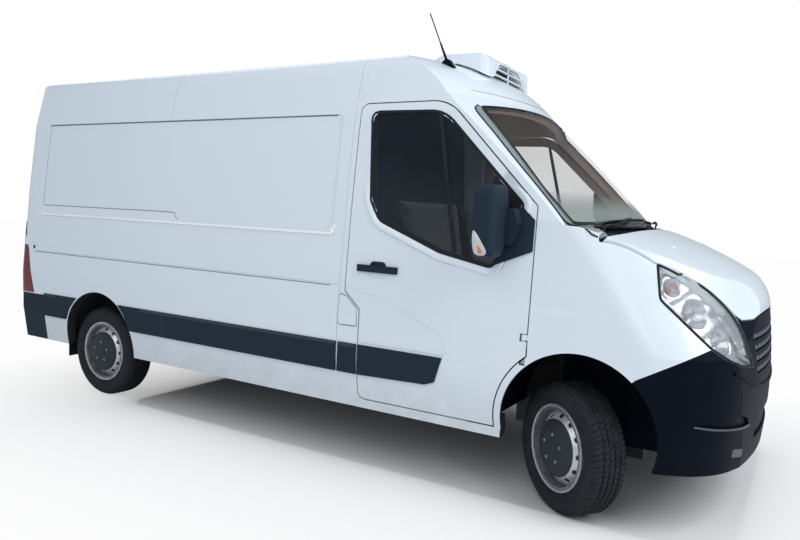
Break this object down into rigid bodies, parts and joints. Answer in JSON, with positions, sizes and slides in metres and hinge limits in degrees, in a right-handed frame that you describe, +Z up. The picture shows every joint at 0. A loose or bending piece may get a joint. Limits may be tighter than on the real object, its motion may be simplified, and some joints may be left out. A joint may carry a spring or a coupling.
{
  "type": "refrigerated van",
  "caption": "White refrigerated panel van with a roof-mounted cooling unit, insulated load body, hinged cab and rear doors, opening bonnet and steered wheels.",
  "frame": {"origin": "on the ground under the middle of the overall box", "axes": "+X forward, +Y to the van's left, +Z up"},
  "size_m": [5.548, 2.4696, 2.7419],
  "materials": {
    "body_paint": "gloss white",
    "black_plastic": "grained black",
    "window_glass": "tinted",
    "clear_lamp": "clear",
    "red_lamp": "red lens",
    "tyre_rubber": "ribbed",
    "wheel_silver": "silver",
    "chassis_black": "satin",
    "iron": "cast",
    "lining": "washable",
    "cab_trim": "grained",
    "seat_cloth": "woven",
    "cooler_metal": "satin"
  },
  "bodies": {
    "body": {"roof": "body_paint", "side_panel_right": "body_paint", "side_panel_left": "body_paint", "sliding_door": "body_paint", "cab_roof": "body_paint", "wing_right": "body_paint", "wing_left": "body_paint", "unit_housing": "body_paint", "rear_bumper": "black_plastic", "cowl": "black_plastic", "grille": "black_plastic", "front_bumper": "black_plastic", "arch_liners": "black_plastic", "aerial": "black_plastic", "side_strips": "black_plastic", "windscreen": "window_glass", "headlamp_right": "clear_lamp", "headlamp_left": "clear_lamp", "tail_lamp_right": "red_lamp", "tail_lamp_left": "red_lamp", "spare_wheel": "tyre_rubber", "chassis_frame": "chassis_black", "rear_axle": "chassis_black", "front_subframe": "chassis_black", "fuel_tank": "chassis_black", "exhaust": "chassis_black", "engine": "iron", "floor": "lining", "bulkhead": "lining", "rear_wheel_boxes": "lining", "dashboard": "cab_trim", "steering_wheel": "cab_trim", "seat_bases": "cab_trim", "driver_seat": "seat_cloth", "passenger_seat": "seat_cloth", "evaporator": "cooler_metal"},
    "cab_door_right": {"cab_door_right": "body_paint", "cab_window_right": "window_glass", "mirror_right": "black_plastic", "door_trim_right": "black_plastic"},
    "cab_door_left": {"cab_door_left": "body_paint", "cab_window_left": "window_glass", "mirror_left": "black_plastic", "door_trim_left": "black_plastic"},
    "rear_door_right": {"rear_door_right": "body_paint"},
    "rear_door_left": {"rear_door_left": "body_paint"},
    "bonnet": {"bonnet": "body_paint"},
    "fuel_flap": {"fuel_flap": "body_paint"},
    "knuckle_right": {"knuckle_right": "iron"},
    "knuckle_left": {"knuckle_left": "iron"},
    "front_wheel_right": {"front_tyre_right": "tyre_rubber", "front_rim_right": "wheel_silver"},
    "front_wheel_left": {"front_tyre_left": "tyre_rubber", "front_rim_left": "wheel_silver"},
    "rear_wheel_right": {"rear_tyre_right": "tyre_rubber", "rear_rim_right": "wheel_silver"},
    "rear_wheel_left": {"rear_tyre_left": "tyre_rubber", "rear_rim_left": "wheel_silver"}
  },
  "joints": [
    {"name": "cab_door_right_hinge", "type": "hinge", "parent": "body", "child": "cab_door_right", "pos_m": [1.684, -1.026, 0.91], "axis": [0, 0, 1], "range_deg": [0, 70]},
    {"name": "cab_door_left_hinge", "type": "hinge", "parent": "body", "child": "cab_door_left", "pos_m": [1.684, 1.026, 0.91], "axis": [0, 0, -1], "range_deg": [0, 70]},
    {"name": "rear_door_right_hinge", "type": "hinge", "parent": "body", "child": "rear_door_right", "pos_m": [-2.764, -0.824, 1.42], "axis": [0, 0, 1], "range_deg": [0, 180]},
    {"name": "rear_door_left_hinge", "type": "hinge", "parent": "body", "child": "rear_door_left", "pos_m": [-2.764, 0.824, 1.42], "axis": [0, 0, -1], "range_deg": [0, 180]},
    {"name": "bonnet_hinge", "type": "hinge", "parent": "body", "child": "bonnet", "pos_m": [1.9, 0, 1.5], "axis": [0, -1, 0], "range_deg": [0, 50]},
    {"name": "fuel_flap_hinge", "type": "hinge", "parent": "body", "child": "fuel_flap", "pos_m": [0.521, -1.029, 0.93], "axis": [0, 0, -1], "range_deg": [0, 90]},
    {"name": "steer_right", "type": "hinge", "parent": "body", "child": "knuckle_right", "pos_m": [1.932, -0.855, 0.343], "axis": [0, 0, 1], "range_deg": [-2, 78]},
    {"name": "steer_left", "type": "hinge", "parent": "body", "child": "knuckle_left", "pos_m": [1.932, 0.855, 0.343], "axis": [0, 0, 1], "range_deg": [-2, 78]},
    {"name": "front_wheel_right_spin", "type": "hinge", "parent": "knuckle_right", "child": "front_wheel_right", "pos_m": [1.91969, -0.87076, 0.343], "axis": [0.6157, 0.788, 0], "continuous": true},
    {"name": "front_wheel_left_spin", "type": "hinge", "parent": "knuckle_left", "child": "front_wheel_left", "pos_m": [1.94431, 0.87076, 0.343], "axis": [0.6157, 0.788, 0], "continuous": true},
    {"name": "rear_wheel_right_spin", "type": "hinge", "parent": "body", "child": "rear_wheel_right", "pos_m": [-1.75, -0.875, 0.343], "axis": [0, 1, 0], "continuous": true},
    {"name": "rear_wheel_left_spin", "type": "hinge", "parent": "body", "child": "rear_wheel_left", "pos_m": [-1.75, 0.875, 0.343], "axis": [0, 1, 0], "continuous": true}
  ],
  "couplings": [
    {"joint": "steer_left", "follows": "steer_right", "ratio": 1}
  ]
}
